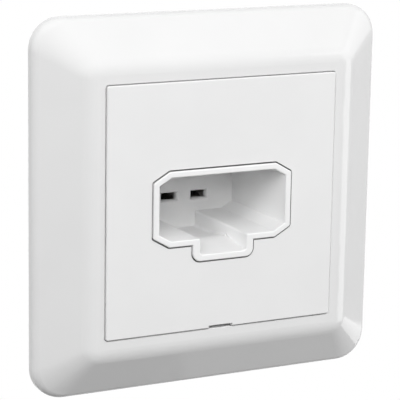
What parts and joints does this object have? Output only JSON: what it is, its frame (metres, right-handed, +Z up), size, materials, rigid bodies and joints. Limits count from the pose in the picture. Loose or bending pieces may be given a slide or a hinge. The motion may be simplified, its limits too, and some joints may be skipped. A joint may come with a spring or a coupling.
{
  "type": "lighting connection outlet",
  "caption": "Flush square wall outlet for a luminaire plug: bevelled frame, centre plate and keyed recess with blade slots, on a steel yoke with rear screw terminals.",
  "frame": {"origin": "centre of the box screw pattern, on the wall plane, which is the back face of the steel yoke", "axes": "+X to the right seen from the front, +Y into the wall, +Z up"},
  "size_m": [0.085, 0.0452, 0.085],
  "materials": {
    "frame_gloss_white": "glossy moulded white",
    "plate_satin_white": "satin moulded white",
    "socket_satin_white": "satin moulded white",
    "base_grey_white": "matt moulded off-white",
    "zinc_steel": "zinc-plated pressed sheet",
    "screw_steel": "zinc-plated",
    "contact_bronze": "tinned bronze strip",
    "spring_steel": "bright spring strip",
    "terminal_brass": "machined brass",
    "tinned_copper": "tinned copper strip"
  },
  "bodies": {
    "root": {"cover_frame": "frame_gloss_white", "centre_plate": "plate_satin_white", "socket_body": "socket_satin_white", "mounting_yoke": "zinc_steel", "terminal_base": "base_grey_white", "earth_bonding_strap": "tinned_copper", "bonding_rivet": "zinc_steel", "body_screws": "screw_steel", "base_screws": "screw_steel", "live_contact": "contact_bronze", "live_contact_spring": "spring_steel", "live_terminal_block": "terminal_brass", "live_terminal_screw": "screw_steel", "earth_contact": "contact_bronze", "earth_contact_spring": "spring_steel", "earth_terminal_block": "terminal_brass", "earth_terminal_screw": "screw_steel", "neutral_contact": "contact_bronze", "neutral_contact_spring": "spring_steel", "neutral_terminal_block": "terminal_brass", "neutral_terminal_screw": "screw_steel"}
  },
  "joints": []
}
